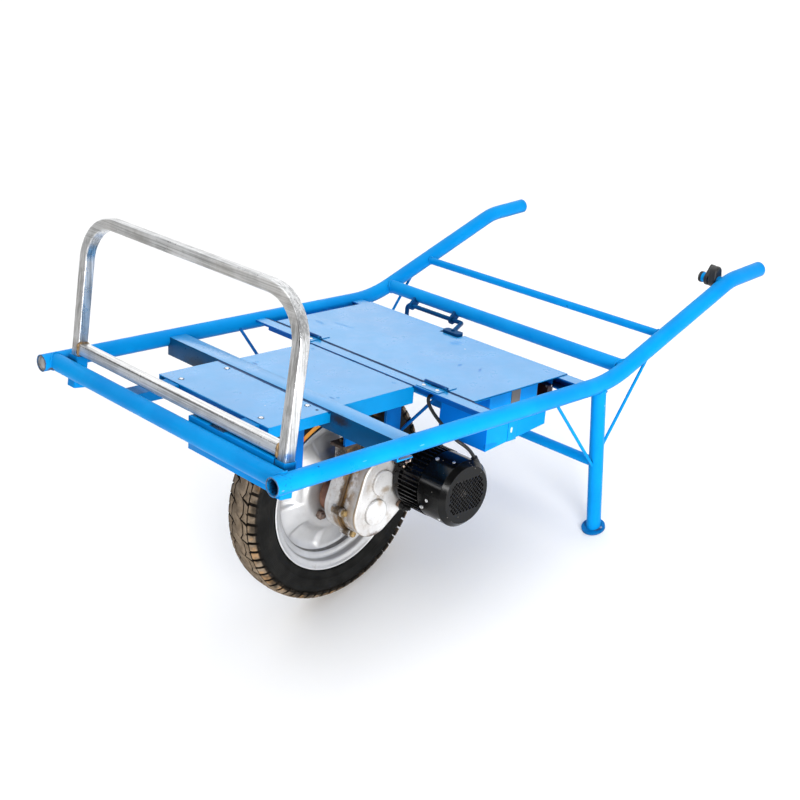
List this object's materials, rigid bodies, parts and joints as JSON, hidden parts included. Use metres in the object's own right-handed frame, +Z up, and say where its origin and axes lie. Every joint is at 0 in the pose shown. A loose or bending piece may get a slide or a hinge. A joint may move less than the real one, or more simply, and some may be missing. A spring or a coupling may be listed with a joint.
{
  "type": "electric wheelbarrow",
  "caption": "Flat-deck electric wheelbarrow: tube frame on a driven centre wheel and two legs, with side motor and gearbox, lidded battery box, lift-out hoop and thumb throttle.",
  "frame": {"origin": "on the floor, under the middle of the bounding box", "axes": "+X forward to the open rail ends, +Y to the motor side, +Z up"},
  "size_m": [1.3678, 0.7498, 0.8776],
  "materials": {
    "blue_paint": "gloss azure paint, slightly dusty",
    "galvanised": "bright galvanised tube",
    "tyre_rubber": "black rubber with dusty tread",
    "rim_silver": "silver painted pressed steel",
    "rusty_hub": "bare steel with brown rust",
    "zinc_steel": "dull zinc plate",
    "cast_aluminium": "raw casting",
    "black_enamel": "gloss black enamel",
    "core_iron": "laminated steel",
    "black_plastic": "moulded black plastic",
    "black_rubber": "soft black rubber",
    "battery_case": "moulded dark grey case",
    "terminal_red": "red moulded caps"
  },
  "bodies": {
    "frame": {"axle_bearing": "blue_paint", "batteries": "battery_case", "battery_box": "blue_paint", "cable_glands": "black_plastic", "catch_lugs": "blue_paint", "controller": "cast_aluminium", "deck_screws": "zinc_steel", "drain_plug": "zinc_steel", "fan_cover": "black_enamel", "foot_pads": "blue_paint", "frame_hinge_leaves": "zinc_steel", "front_channel": "blue_paint", "front_cover": "blue_paint", "front_crossbar": "blue_paint", "front_plate": "blue_paint", "front_wheel_bars": "blue_paint", "gearbox_bolts": "zinc_steel", "gearbox_cover": "cast_aluminium", "gearbox_housing": "cast_aluminium", "hanger_stays": "blue_paint", "hinge_bar": "blue_paint", "hoop_sockets": "blue_paint", "left_hangers": "blue_paint", "left_leg": "blue_paint", "left_rail": "blue_paint", "leg_braces": "blue_paint", "leg_tie": "blue_paint", "motor_body": "black_enamel", "motor_cable": "black_rubber", "motor_flange": "black_enamel", "motor_screws": "zinc_steel", "motor_stator": "core_iron", "mount_plate": "blue_paint", "rear_channel": "blue_paint", "rear_cover": "blue_paint", "rear_lower_crossbar": "blue_paint", "rear_upper_crossbar": "blue_paint", "rear_wheel_bars": "blue_paint", "right_hanger": "blue_paint", "right_leg": "blue_paint", "right_rail": "blue_paint", "stub_cap": "black_rubber", "terminal_caps": "terminal_red", "throttle_clamp": "black_plastic", "throttle_stub": "blue_paint"},
    "wheel": {"tyre": "tyre_rubber", "rim": "rim_silver", "hub": "rusty_hub", "wheel_nuts": "zinc_steel", "axle": "zinc_steel"},
    "countershaft": {"countershaft": "zinc_steel"},
    "idler": {"idler_gear": "zinc_steel"},
    "rotor": {"rotor": "core_iron", "fan": "black_plastic"},
    "lid": {"lid": "blue_paint", "lid_hinge_leaves": "zinc_steel"},
    "catch": {"lid_catch": "blue_paint"},
    "hoop": {"hoop": "galvanised", "hoop_lower_bar": "galvanised"},
    "throttle_lever": {"throttle_lever": "black_plastic"}
  },
  "joints": [
    {"name": "wheel_spin", "type": "hinge", "parent": "frame", "child": "wheel", "pos_m": [0.3547, 0, 0.235], "axis": [0, 1, 0], "continuous": true},
    {"name": "countershaft_spin", "type": "hinge", "parent": "frame", "child": "countershaft", "pos_m": [0.32002, 0.1, 0.28592], "axis": [0, 1, 0], "continuous": true},
    {"name": "idler_spin", "type": "hinge", "parent": "frame", "child": "idler", "pos_m": [0.26191, 0.11, 0.2657], "axis": [0, 1, 0], "continuous": true},
    {"name": "rotor_spin", "type": "hinge", "parent": "frame", "child": "rotor", "pos_m": [0.23592, 0.2, 0.25665], "axis": [0, 1, 0], "continuous": true},
    {"name": "lid_hinge", "type": "hinge", "parent": "frame", "child": "lid", "pos_m": [0.16922, 0, 0.44314], "axis": [0, 1, 0], "range_deg": [0, 105]},
    {"name": "catch_pivot", "type": "hinge", "parent": "frame", "child": "catch", "pos_m": [-0.16635, -0.18, 0.3017], "axis": [0, -1, 0], "range_deg": [0, 75]},
    {"name": "hoop_slide", "type": "slide", "parent": "frame", "child": "hoop", "axis": [-0.459, 0, 0.8884], "range_m": [0, 0.07]},
    {"name": "throttle_push", "type": "hinge", "parent": "frame", "child": "throttle_lever", "pos_m": [-0.55041, 0.308, 0.31626], "axis": [0, 1, 0], "range_deg": [0, 50], "stiffness_Nm_per_rad": 0.25, "springref_deg": -11.46}
  ],
  "couplings": [
    {"joint": "countershaft_spin", "follows": "wheel_spin", "ratio": -3.5264},
    {"joint": "idler_spin", "follows": "wheel_spin", "ratio": 9.1136},
    {"joint": "rotor_spin", "follows": "wheel_spin", "ratio": -15.516}
  ]
}
